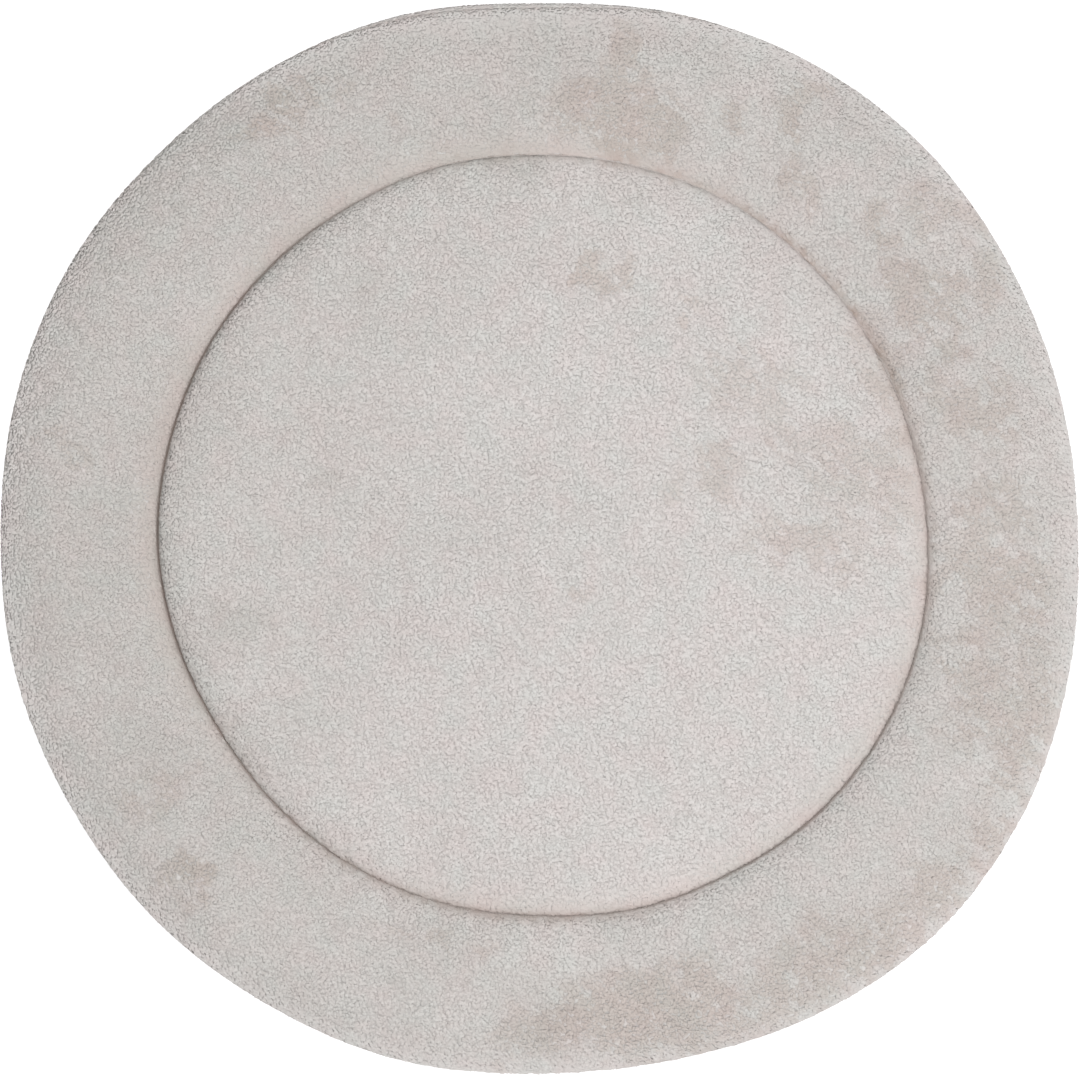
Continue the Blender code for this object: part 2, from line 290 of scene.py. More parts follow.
def facePoint(along, bearingDeg, depth):
    # a point of the face under the pile tips by the depth, at a length along its section.
    # The depth fades towards the sewn circle and the seam draws the edge in.
    along = np.clip(along, 0.0, faceLength)
    radius = np.interp(along, lineAlong, lineRadius)
    height = np.interp(along, lineAlong, lineHeight)
    angle = np.interp(along, lineAlong, lineAngle)
    nearSewn = np.abs(along - sewnAlong)
    depth = depth * (cloth["pressedLeast"] + (1.0 - cloth["pressedLeast"]) * softStep(nearSewn / cloth["pressedReach"]))
    step = cloth["slopeStep"]
    ahead, behind = along + step, along - step
    slopeR = np.interp(ahead, lineAlong, lineRadius) - np.interp(behind, lineAlong, lineRadius)
    slopeZ = np.interp(ahead, lineAlong, lineHeight) - np.interp(behind, lineAlong, lineHeight)
    size = np.maximum(np.hypot(slopeR, slopeZ), 1e-9)
    turn = np.radians(roundTheMat(bearingDeg, 3))
    toSeam = np.clip((faceLength - along) / cloth["seamReach"], 0.0, 1.0)
    edge = edgePlace(angle + turn * np.cos(angle) ** 2, depth + cloth["seamDepth"] * (1.0 - toSeam) ** 2)
    radius = np.where(along > edgeAlong, edge[0], radius + depth * slopeZ / size)
    height = np.where(along > edgeAlong, edge[1], height - depth * slopeR / size)
    wander = 2.0 * np.sin(np.radians(bearingDeg) * cloth["puckerWander"])
    pucker = np.sin(np.radians(bearingDeg) * cloth["puckers"] + wander)
    gather = np.exp(-nearSewn / cloth["puckerReach"]) * softStep(nearSewn / cloth["puckerStart"])
    crown = np.where(along < sewnAlong, mat["discHeight"], mat["ringHeight"])
    inCrease = np.clip(crown - height, 0.0, None)
    open_ = roundTheMat(bearingDeg, 2, creaseSections)
    filled = crown - open_ * (1.0 - np.exp(-inCrease / open_))
    height = np.where((along < edgeAlong) & (height < crown), filled, height)
    height = height + cloth["puckerHeight"] * pucker * gather
    return lainShape(radius, height, bearingDeg)


def footInset(part):
    # how deep the underside's cloth lies under its pile tips: as deep as the face's at the seam,
    # and not at all where the mat lies on it
    return cloth["rimDepth"] * (1.0 - softStep(part / 0.9))


def footPoint(part, bearingDeg, inset):
    # from the seam (0) down round the foot (1) and in over the floor to the middle (2),
    # over the rise that the sewn circle pulls into the underside
    turn = np.radians(roundTheMat(bearingDeg, 3))
    angle = -np.clip(part, 0.0, 1.0) * np.pi / 2.0
    seam = cloth["seamDepth"] * (1.0 - np.clip(part / 0.12, 0.0, 1.0)) ** 2
    radius, height = edgePlace(angle + turn * np.cos(angle) ** 2, inset + seam)
    inward = np.clip(part - 1.0, 0.0, 1.0)
    radius = np.where(part > 1.0, mat["footRadius"] * (1.0 - inward), radius)
    across = np.clip((radius - mat["sewnRadius"]) / mat["underChannelReach"], -1.0, 1.0)
    rise = mat["underChannelRise"] * (0.5 + 0.5 * np.cos(np.pi * across))
    height = np.where(part > 1.0, inset + rise, height)
    return lainShape(radius, height, bearingDeg)


def meshPiece(name, points, faces, smooth=True):
    # a mesh object from arrays of points and of faces that all have as many corners
    mesh = bpy.data.meshes.new(name)
    corners = faces.shape[1]
    mesh.vertices.add(len(points))
    mesh.vertices.foreach_set("co", points.astype(np.float32).ravel())
    mesh.loops.add(faces.size)
    mesh.loops.foreach_set("vertex_index", faces.astype(np.int32).ravel())
    mesh.polygons.add(len(faces))
    mesh.polygons.foreach_set("loop_start", np.arange(0, faces.size, corners, dtype=np.int32))
    if smooth:
        mesh.shade_smooth()
    mesh.update(calc_edges=True)
    mesh.validate()
    piece = bpy.data.objects.new(name, mesh)
    bpy.context.scene.collection.objects.link(piece)
    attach(piece, "root")
    return piece


def turnedShell(rows):
    # rows of points round the mat, closed at both ends by a point in the middle, as one skin:
    # quads between rows, and a fan of triangles written as quads that share a corner
    count, around = rows.shape[0], rows.shape[1]
    body = rows[1:-1].reshape(-1, 3)
    points = np.vstack([rows[0].mean(axis=0)[None], body, rows[-1].mean(axis=0)[None]])
    ring = np.arange(around)
    after = (ring + 1) % around
    level = 1 + np.arange(count - 3)[:, None] * around
    quads = np.stack([level + ring, level + around + ring, level + around + after, level + after], -1)
    last = 1 + (count - 3) * around
    top = np.stack([np.zeros(around, int), 1 + ring, 1 + after], -1)
    foot = np.stack([np.full(around, len(points) - 1), last + after, last + ring], -1)
    return points, quads.reshape(-1, 4), np.vstack([top, foot])


def shellPiece(name, rows):
    points, quads, fans = turnedShell(rows)
    triangles = np.vstack([quads[:, [0, 1, 2]], quads[:, [0, 2, 3]], fans])
    return meshPiece(name, points, triangles)


bearings = np.arange(cloth["bearings"]) * 360.0 / cloth["bearings"]
print("face cloth")
faceAlong = np.linspace(0.0, faceLength, cloth["faceRows"])
faceAlong[np.argmin(np.abs(faceAlong - sewnAlong))] = sewnAlong
insideInset = mat["panelThickness"] + mat["gap"] + 0.0010
faceRows = [facePoint(np.full(len(bearings), a), bearings, pileDepth(a)) for a in faceAlong]
faceRows += [footPoint(np.full(len(bearings), p), bearings, insideInset) for p in (0.02, 0.3, 0.65, 1.0)]
faceRows += [footPoint(np.full(len(bearings), 1.0 + q), bearings, insideInset)
             for q in (0.15, 0.19, 0.231, 0.27, 0.31, 1.0)]
faceCloth = shellPiece("faceCloth", np.array(faceRows))
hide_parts("filled_face")

print("underside cloth")
outParts = [0.03, 0.1, 0.22, 0.4, 0.6, 0.8, 1.0, 1.15, 1.19, 1.21, 1.231, 1.25, 1.27, 1.31, 1.6, 2.0]
inner = [footPoint(np.full(len(bearings), p), bearings, footInset(p) + 0.001) for p in outParts[::-1]]
outer = [footPoint(np.full(len(bearings), p), bearings, footInset(p)) for p in outParts]
underCloth = shellPiece("undersideCloth", np.array(inner + outer))
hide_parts("underside_panel")


# The pile: one tuft is a closed flat leaf of four triangles, arched over its belly
pile = {
    "pitch": 0.00205,
    "napDeg": -42.0,  # the way the pile is combed, seen from above
    "stray": 0.75,  # how far a tuft turns off the nap, in radians
    "clump": 0.0055,  # tufts gather into curls this far apart
    "clumpPull": 0.25,
    "roll": 0.8,
    "smoothReach": 0.018,  # pile that is combed down into the crease lies smooth over this
    "creaseShadeReach": 0.0016,  # painted shade darkens and browns the pile in the crease over this
    "creaseFull": 0.024,
    # painted shadow on the pile beside the crease reaches this far
    "paintedShadowReach": 0.0052,
    "discPaintedShade": 0.24,  # painted shade on the disc's pile towards the sewn circle
    "discPaintedShadeReach": 0.026,
    "partingSize": 0.011,  # painted shade lies along broken lines this far apart, as if the pile parted there
    "partingWidth": 0.035,
    "partingPaintedShade": 1.5,
    "calm": 0.75,  # where the pile is held down its fibres show less, by this share
    "tidyReach": 0.006,
    "tidyHeld": 0.45,
    "seamShadeReach": 0.0018,  # painted shade, darker and browner, on the pile in the edge seam over this
    "seamPaintedShade": 0.35,
    "rimHeld": 0.9,
    "rimHeldReach": 0.045,
    # painted shade: its bearing, on the ring, towards the upper left, its uneven mottle, how it fades at the rim, and
    # in patches
    "paintedShadeDeg": 160.0,
    "ringPaintedShade": 0.58,
    "sidePaintedShade": 0.66,
    "unevenShade": 0.25,
    "rimReach": 0.026,
    "rimPaintedLight": 0.9,
    "patchPaintedShade": 0.7,
    "seamReach": 0.005,  # the pile is caught short in the edge seam over this
    "rise": 0.0011,
    "lean": 0.0040,
    "halfWidth": 0.0018,
    "downhill": 0.6,  # how far the pile on a slope turns down it
    "evenness": 0.78,  # how far the shading follows the cloth below and not each tuft
    "upward": 0.5,  # how far it turns up, because pile passes light on down its slopes
    "upwardOnSlopes": 1.2,
    "seed": 7,
}


def clumpCentres(x, y, size, seed):
    # the nearest of one point set at random in each square of a grid, and that point's dice
    cellX, cellY = np.floor(x / size).astype(int), np.floor(y / size).astype(int)
    lowX, lowY = cellX.min() - 1, cellY.min() - 1
    across, up = cellX.max() - lowX + 2, cellY.max() - lowY + 2
    dice = np.random.default_rng(seed).random((across * up, 5))
    best = np.full(len(x), 1e9)
    centre = np.zeros((len(x), 2))
    number = np.zeros(len(x), int)
    for stepX in (-1, 0, 1):
        for stepY in (-1, 0, 1):
            key = (cellX + stepX - lowX) * up + cellY + stepY - lowY
            pointX = (cellX + stepX + dice[key, 0]) * size
            pointY = (cellY + stepY + dice[key, 1]) * size
            apart = np.hypot(x - pointX, y - pointY)
            nearer = apart < best
            best = np.where(nearer, apart, best)
            centre[nearer] = np.stack([pointX, pointY], -1)[nearer]
            number[nearer] = key[nearer]
    return centre, dice[number, 2:]


def mottle(x, y, size, seed):
    # soft noise from 0 to 1: dice on the corners of squares, joined across them by soft steps
    table = np.random.default_rng(seed).random((64, 64))
    column, row = np.floor(x / size).astype(int), np.floor(y / size).astype(int)
    across, up = softStep(x / size - column), softStep(y / size - row)
    low, high = (
        table[column % 64, line % 64] * (1.0 - across) + table[(column + 1) % 64, line % 64] * across
        for line in (row, row + 1)
    )
    return low * (1.0 - up) + high * up


def patchAmount(patches, x, y):
    # 0 to 1: the strongest ellipse at each place, all of them pushed out of shape by noise, and
    # ragged and streaked along the nap where they fade
    nap = math.radians(pile["napDeg"])
    streak = mottle(0.25 * (x * math.cos(nap) + y * math.sin(nap)), y * math.cos(nap) - x * math.sin(nap), 0.0045, 6)
    rough = 0.3 * mottle(x, y, 0.020, 3) + 0.3 * mottle(x, y, 0.008, 4) + 0.4 * streak
    bentX = x + 0.034 * (mottle(x, y, 0.033, 8) - 0.5) + 0.022 * (mottle(x, y, 0.013, 9) - 0.5)
    bentY = y + 0.034 * (mottle(x, y, 0.033, 10) - 0.5) + 0.022 * (mottle(x, y, 0.013, 11) - 0.5)
    amount = np.zeros(len(x))
    for midX, midY, half, wide, turnDeg, strength in patches:
        turn = math.radians(turnDeg)
        awayX, awayY = bentX - midX, bentY - midY
        along = (awayX * math.cos(turn) + awayY * math.sin(turn)) / half
        over = (awayY * math.cos(turn) - awayX * math.sin(turn)) / wide
        amount = np.maximum(amount, strength * softStep(1.35 - 0.70 * np.hypot(along, over)))
    return amount * softStep((amount + 2.8 * (rough - 0.5) - 0.22) / 0.45)


def partingShadeLines(x, y):
    # 0 to 1: broken lines of painted shade, where one soft noise is near its middle and another is high
    near = np.abs(mottle(x, y, pile["partingSize"], 15) - 0.5) / pile["partingWidth"]
    return softStep(1.0 - near) * softStep((mottle(x, y, 3.0 * pile["partingSize"], 16) - 0.5) / 0.2)


def paintedShadeAndMottleAmount(x, y):
    # 0 to 1: painted shade on the curved ring and towards the upper left, away from the key lamp, with
    # uneven mottle, more on the disc beside the sewn circle, less at the rim, more in listed patches
    away = math.radians(pile["paintedShadeDeg"])
    towards = x * math.cos(away) + y * math.sin(away)
    bearingDeg = np.degrees(np.arctan2(y - middleY, x - middleX))
    radius = np.hypot(x - middleX, y - middleY)
    inRing = softStep((radius - sewnReach(bearingDeg)) / 0.006)
    side = pile["sidePaintedShade"] * softStep((towards + 0.1) / 0.5)
    paintedShadeAndMottle = side + pile["ringPaintedShade"] * inRing * (1.0 - side)
    paintedShadeAndMottle = paintedShadeAndMottle + pile["unevenShade"] * (mottle(x, y, 0.070, 12) + mottle(x, y, 0.030, 13) - 1.0)
    beside = np.exp(-(((sewnReach(bearingDeg) - radius) / pile["discPaintedShadeReach"]) ** 2))
    paintedShadeAndMottle = paintedShadeAndMottle + pile["discPaintedShade"] * (1.0 - inRing) * beside
    fade = softStep(1.0 - (roundTheMat(bearingDeg, 1) - radius) / pile["rimReach"])
    return paintedShadeAndMottle * (1.0 - pile["rimPaintedLight"] * fade) + pile["patchPaintedShade"] * patchAmount(paintedShadeAndSmudgePatches, x, y)


def scatter(start, end, pitch, rng):
    # places along rows of the face, a pitch apart each way, moved a little at random
    rows = np.arange(start + pitch / 2.0, end, pitch)
    radius = np.interp(rows, lineAlong, lineRadius)
    counts = np.maximum(np.round(2.0 * np.pi * radius / pitch), 3).astype(int)
    row = np.repeat(np.arange(len(rows)), counts)
    number = np.arange(len(row)) - np.repeat(np.cumsum(counts) - counts, counts)
    offset = rng.random(len(rows))[row]
    along = rows[row] + pitch * (rng.random(len(row)) - 0.5)
    bearing = (number + offset + 0.9 * (rng.random(len(row)) - 0.5)) / counts[row] * 360.0
    return along, bearing % 360.0


def unit(vectors):
    return vectors / np.maximum(np.linalg.norm(vectors, axis=1, keepdims=True), 1e-12)


def besideCrease(x, y):
    # 0 to 1 beside the sewn circle, on the side whose slope faces the way the pile is combed, where
    # it lies down smooth and pink; 0 to 1 of painted shade in the open crease itself and of painted
    # shadow beside it; and 0 to 1 on both sides, where the stitches hold it down
    bearing = np.arctan2(y - middleY, x - middleX)
    away = np.hypot(x - middleX, y - middleY) - sewnReach(np.degrees(bearing))
    facing = -np.sign(away) * np.cos(bearing - math.radians(pile["napDeg"]))
    smooth = softStep((facing + 0.1) / 0.8) * np.exp(-((away / pile["smoothReach"]) ** 2))
    open_ = roundTheMat(np.degrees(bearing), 2, creaseSections) / pile["creaseFull"]
    paintedCreaseShade = np.clip(open_, 0.0, 1.0) * np.exp(-((away / pile["creaseShadeReach"]) ** 2))
    onDisc, onRing = (roundTheMat(np.degrees(bearing), column, creaseSections) for column in (3, 4))
    # painted shadow on the pile beside the crease
    paintedShadowBeside = np.clip(np.where(away < 0.0, onDisc, onRing), 0.0, 1.0) * (0.5 + mottle(x, y, 0.006, 17))
    paintedCreaseShade = np.maximum(paintedCreaseShade, paintedShadowBeside * np.exp(-((away / pile["paintedShadowReach"]) ** 2)))
    return smooth, paintedCreaseShade, np.exp(-((away / pile["tidyReach"]) ** 2))


def tuftShapes(root, normal, shortness, held, rng):
    # belly and tip of each tuft. The tip leans with the nap and a little towards its clump's
    # middle, farther and flatter downhill, less and more upright uphill.
    count = len(root)
    centre, clumpDice = clumpCentres(root[:, 0], root[:, 1], pile["clump"], pile["seed"])
    stroked = patchAmount(strokedPatches, root[:, 0], root[:, 1])
    stray = 0.5 * (clumpDice[:, 0] - 0.5) + 1.1 * (rng.random(count) - 0.5)
    turn = math.radians(pile["napDeg"]) + 0.8 * stroked + 2.0 * pile["stray"] * stray * (1.0 - 0.7 * held)
    nap = np.stack([np.cos(turn), np.sin(turn), np.zeros(count)], -1)
    nap = nap + normal * np.array([1.0, 1.0, 0.0]) * pile["downhill"]
    nap = nap - normal * np.sum(nap * normal, axis=1, keepdims=True)
    downhill = np.clip(-nap[:, 2:3], -0.7, 1.0)
    nap = unit(nap)
    toClump = np.stack([centre[:, 0] - root[:, 0], centre[:, 1] - root[:, 1], np.zeros(count)], -1)
    toClump = toClump - normal * np.sum(toClump * normal, axis=1, keepdims=True)
    size = (0.8 + 0.4 * rng.random((count, 1))) * (0.85 + 0.3 * clumpDice[:, 1:2]) * shortness
    rise = normal * pile["rise"] * size * (1.0 - 0.45 * downhill) * (1.0 - 0.65 * held[:, None])
    lean = nap * pile["lean"] * size * (1.0 + 0.4 * downhill)
    pull = toClump * pile["clumpPull"]
    return root + 0.85 * rise + 0.42 * lean + 0.5 * pull, root + 0.8 * rise + lean + pull, size, stroked, clumpDice


def keptOpen(points, outside, rng):
    # points moved off the sewn circle, so that the crease between disc and ring stays open,
    # each tuft's a little more or less than the next one's
    x, y = points[..., 0] - middleX, points[..., 1] - middleY
    bearingDeg = np.degrees(np.arctan2(y, x))
    radius = np.hypot(x, y)
    uneven = 0.0007 * (rng.random((len(x), 1)) - 0.5)
    half = roundTheMat(bearingDeg, 1, creaseSections) + uneven + 0.0009 * (mottle(x, y, 0.004, 14) - 0.5)
    sewn = sewnReach(bearingDeg)
    kept = np.where(outside[:, None], np.maximum(radius, sewn + half), np.minimum(radius, sewn - half))
    points[..., 0] = middleX + x * kept / radius
    points[..., 1] = middleY + y * kept / radius


def setAttribute(piece, label, values):
    attribute = piece.data.attributes.new(label, "FLOAT", "POINT")
    attribute.data.foreach_set("value", values.astype(np.float32))


def tuftPiece(name, root, normal, shortness, toSeam, rng):
    # four triangles a tuft: a buried root, two belly points across the bend and a tip
    smooth, paintedCreaseShade, tidy = besideCrease(root[:, 0], root[:, 1])
    # painted shade in the edge seam
    paintedCreaseShade = np.maximum(paintedCreaseShade, pile["seamPaintedShade"] * np.exp(-((toSeam / pile["seamShadeReach"]) ** 2)))
    held = np.maximum(smooth, pile["tidyHeld"] * tidy)
    held = np.maximum(held, pile["rimHeld"] * softStep(1.0 - toSeam / pile["rimHeldReach"]))
    belly, tip, size, stroked, clumpDice = tuftShapes(root, normal, shortness, held, rng)
    side = unit(np.cross(tip - root, normal))
    count = len(root)
    roll = (rng.random((count, 1)) - 0.5) * pile["roll"] * (1.0 - 0.8 * held[:, None])
    wide = pile["halfWidth"] * size * (0.8 + 0.4 * rng.random((count, 1)))
    across = side * np.cos(roll) + normal * np.sin(roll)
    points = np.stack([root - normal * 0.0008, belly + across * wide, belly - across * wide, tip], axis=1)
    fromMiddle = np.hypot(root[:, 0] - middleX, root[:, 1] - middleY)
    outside = fromMiddle > sewnReach(np.degrees(np.arctan2(root[:, 1] - middleY, root[:, 0] - middleX)))
    keptOpen(points, outside, rng)
    faces = np.array([[0, 1, 2], [3, 2, 1], [0, 2, 3], [0, 3, 1]])
    faces = (np.arange(count)[:, None, None] * 4 + faces).reshape(-1, 3)
    piece = meshPiece(name, points.reshape(-1, 3), faces)
    own = np.empty(count * 12, np.float32)
    piece.data.vertices.foreach_get("normal", own)
    upward = pile["upward"] + pile["upwardOnSlopes"] * (1.0 - normal[:, 2:3])
    even = unit(normal + upward * np.array([0.0, 0.0, 1.0]))
    evenness = (pile["evenness"] + (0.97 - pile["evenness"]) * held)[:, None, None]
    shading = own.reshape(count, 4, 3) * (1.0 - evenness) + even[:, None, :] * evenness
    piece.data.normals_split_custom_set_from_vertices(unit(shading.reshape(-1, 3)))
    tone = 0.5 + 0.6 * (rng.random(count) - 0.5) + 0.4 * (clumpDice[:, 2] - 0.5)
    # painted shade along the partings, less where the pile is held down
    tone = tone - pile["partingPaintedShade"] * partingShadeLines(root[:, 0], root[:, 1]) * (1.0 - held)
    setAttribute(piece, "tone", np.repeat(tone, 4))
    setAttribute(piece, "stroked", np.repeat(stroked, 4))
    setAttribute(piece, "paintedShadeAndMottle", np.repeat(paintedShadeAndMottleAmount(root[:, 0], root[:, 1]), 4))
    setAttribute(piece, "smooth", np.repeat(smooth, 4))
    setAttribute(piece, "paintedCreaseShade", np.repeat(paintedCreaseShade, 4))
    setAttribute(piece, "calm", np.repeat(held * pile["calm"], 4))
    setAttribute(piece, "rise", np.tile([0.0, 0.7, 0.7, 1.0], count))
    bakeMap(piece, count)
    return piece


def paintCreaseShade(clothPiece):
    # painted shade darkens and browns the bare cloth in the crease, as it does the pile beside it
    places = np.empty(len(clothPiece.data.vertices) * 3, np.float32)
    clothPiece.data.vertices.foreach_get("co", places)
    places = places.reshape(-1, 3)
    setAttribute(clothPiece, "paintedCreaseShade", besideCrease(places[:, 0], places[:, 1])[1])


def bakeMap(piece, count):
    # each tuft's upper and lower two faces laid open side by side in its own square of the map
    side = math.ceil(math.sqrt(count))
    square = np.stack([np.arange(count) % side, np.arange(count) // side], -1)
    root, right, left, tip = (0.25, 0.0), (0.5, 0.5), (0.0, 0.5), (0.25, 1.0)
    upper = [root, right, left, tip, left, right]
    lower = [root, right, tip, root, tip, left]
    corners = np.array(upper + [(across + 0.5, up) for across, up in lower])
    places = (square[:, None, :] + 0.06 + 0.88 * corners[None]) / side
    layer = piece.data.uv_layers.new(name="OFBake", do_init=False)
    layer.uv.foreach_set("vector", places.astype(np.float32).ravel())


def surfaceFrame(along, bearing):
    # cloth point and outward normal, from small steps along the section and round the mat
    step, turn = 0.0012, 0.15
    here = facePoint(along, bearing, pileDepth(along))
    depth = pileDepth(along)
    out = facePoint(along + step, bearing, depth) - facePoint(along - step, bearing, depth)
    round_ = facePoint(along, bearing + turn, depth) - facePoint(along, bearing - turn, depth)
    return here, unit(np.cross(out, round_))


def facePile():
    # the disc's pile and the ring's, each cut into even sectors
    rng = np.random.default_rng(pile["seed"] + 2)
    made = []
    for region, start, end, sectors in (
        ("disc", 0.002, sewnAlong - 0.0012, 3),
        ("ring", sewnAlong + 0.0012, faceLength, 4),
    ):
        along, bearing = scatter(start, end, pile["pitch"], rng)
        root, normal = surfaceFrame(along, bearing)
        near = np.abs(along - sewnAlong)
        shortness = 0.42 + 0.58 * softStep(near / cloth["pressedReach"])
        shortness = shortness * (0.6 + 0.4 * softStep((faceLength - along) / pile["seamReach"]))
        shortness = shortness[:, None]
        for sector in range(sectors):
            chosen = (bearing * sectors / 360.0).astype(int) == sector
            name = region + "Pile" + str(sector + 1)
            toSeam = faceLength - along[chosen]
            made.append(tuftPiece(name, root[chosen], normal[chosen], shortness[chosen], toSeam, rng))
            print("pile", name, int(chosen.sum()), "tufts")
    return made


def rimPile():
    # the underside panel's pile where it curls up from the floor to the seam
    rng = np.random.default_rng(pile["seed"] + 3)
    pitch = pile["pitch"] * 1.1
    rows = np.arange(0.03, 0.82, pitch / 0.047)
    counts = int(2.0 * np.pi * mat["edgeRadius"] / pitch)
    part = np.repeat(rows, counts) + (rng.random(len(rows) * counts) - 0.5) * pitch / 0.047
    bearing = np.tile(np.arange(counts), len(rows)) + rng.random(len(part))
    bearing = bearing * 360.0 / counts
    inset = footInset(part)
    here = footPoint(part, bearing, inset)
    out = footPoint(part + 0.01, bearing, inset) - footPoint(part - 0.01, bearing, inset)
    round_ = footPoint(part, bearing + 0.15, inset) - footPoint(part, bearing - 0.15, inset)
    normal = unit(np.cross(out, round_))
    shortness = (0.25 + 0.60 * softStep((here[:, 2] - 0.002) / 0.012))[:, None]
    return tuftPiece("undersidePile", here, normal, shortness, part * 0.047, rng)


stitching = {
    "step": 0.0035,
    "length": 0.0027,
    "halfWidth": 0.00045,
    "proud": 0.0004,
    "colour": (0.60, 0.58, 0.56, 1.0),
}


def stitchPiece(name):
    # a ring of short bars, pointed at both ends, half sunk in the underside along the sewn circle
    count = int(2.0 * math.pi * mat["sewnRadius"] / stitching["step"])
    bearing = np.arange(count) * 360.0 / count
    inward = 1.0 - mat["sewnRadius"] / mat["footRadius"]
    half = math.degrees(stitching["length"] / 2.0 / mat["sewnRadius"])
    here = footPoint(np.full(count, 1.0 + inward), bearing, 0.0)
    ends = [footPoint(np.full(count, 1.0 + inward), bearing + side * half, 0.0) for side in (-1.0, 1.0)]
    run = unit(ends[1] - ends[0])
    down = np.array([0.0, 0.0, -1.0])
    across = unit(np.cross(run, down)) * stitching["halfWidth"]
    proud, sunk = down * stitching["proud"], -down * stitching["proud"]
    points = np.stack([ends[0], here + across, here + proud, here - across, here + sunk, ends[1]], axis=1)
    faces = []
    for one, two in ((1, 2), (2, 3), (3, 4), (4, 1)):
        faces += [[0, two, one], [5, one, two]]
    faces = (np.arange(count)[:, None, None] * 6 + np.array(faces)).reshape(-1, 3)
    return meshPiece(name, points.reshape(-1, 3), faces)


print("stitches")
stitches = stitchPiece("undersideStitches")

print("pile")
pilePieces = facePile()
underPile = rimPile()
paintCreaseShade(faceCloth)


class Wire:
    # one socket of a material's nodes: + - * / on it add Math nodes, node() adds any other
    def __init__(self, tree, socket=None):
        self.tree = tree
        self.socket = socket

    def node(self, kind, settings, inputs, output=0):
        made = self.tree.nodes.new(kind)
        for name, value in settings.items():
            if name == "stops":
                ramp = made.color_ramp
                for place, (position, colour) in enumerate(value):
                    stop = ramp.elements[place] if place < 2 else ramp.elements.new(position)
                    stop.position, stop.color = position, colour
            else:
                setattr(made, name, value)
        for name, value in inputs.items():
            if isinstance(value, Wire):
                self.tree.links.new(value.socket, made.inputs[name])
            else:
                made.inputs[name].default_value = value
        return Wire(self.tree, made.outputs[output])

    def maths(self, operation, first, second):
        return self.node("ShaderNodeMath", {"operation": operation}, {0: first, 1: second})

    def __add__(self, other):
        return self.maths("ADD", self, other)

    def __sub__(self, other):
        return self.maths("SUBTRACT", self, other)

    def __rsub__(self, other):
        return self.maths("SUBTRACT", other, self)

    def __mul__(self, other):
        return self.maths("MULTIPLY", self, other)

    __radd__ = __add__
    __rmul__ = __mul__


plush = {
    "light": (0.611, 0.594, 0.580, 1.0),
    "dark": (0.531, 0.507, 0.493, 1.0),
    "ground": (0.628, 0.609, 0.592, 1.0),
    "strokedTint": (0.885, 0.838, 0.812, 1.0),
    "paintedShadeTint": (0.848, 0.848, 0.832, 1.0),
    "smoothTint": (0.955, 0.900, 0.880, 1.0),
    "paintedCreaseShadeTint": (0.680, 0.590, 0.540, 1.0),
    "fibreScale": (260.0, 800.0, 800.0),  # on the cloth, for each metre along, across and over the nap
    "fibresAcross": 4.0,  # on a tuft's square
    "fibresAlong": 2.2,
    "fibreContrast": 2.7,
    "toneContrast": 0.8,
    "cloudContrast": 0.7,
    "cloudScale": 9.0,
    "blushScale": 40.0,
    "blushContrast": 2.4,
    "blushTint": (1.0, 0.952, 0.950, 1.0),
    "paleTint": (0.970, 0.983, 0.976, 1.0),
    "roughness": 0.92,
    "sheen": 0.12,
}


def newMaterial(name):
    material = bpy.data.materials.new(name)
    material.use_nodes = True
    tree = material.node_tree
    return material, tree.nodes["Principled BSDF"], Wire(tree)


def mixed(wire, factor, first, second, blend="MIX"):
    # first where the factor is 0, and where it is 1 the second, or the two multiplied
    settings = {"data_type": "RGBA", "blend_type": blend}
    return wire.node("ShaderNodeMix", settings, {0: factor, 6: first, 7: second}, 2)


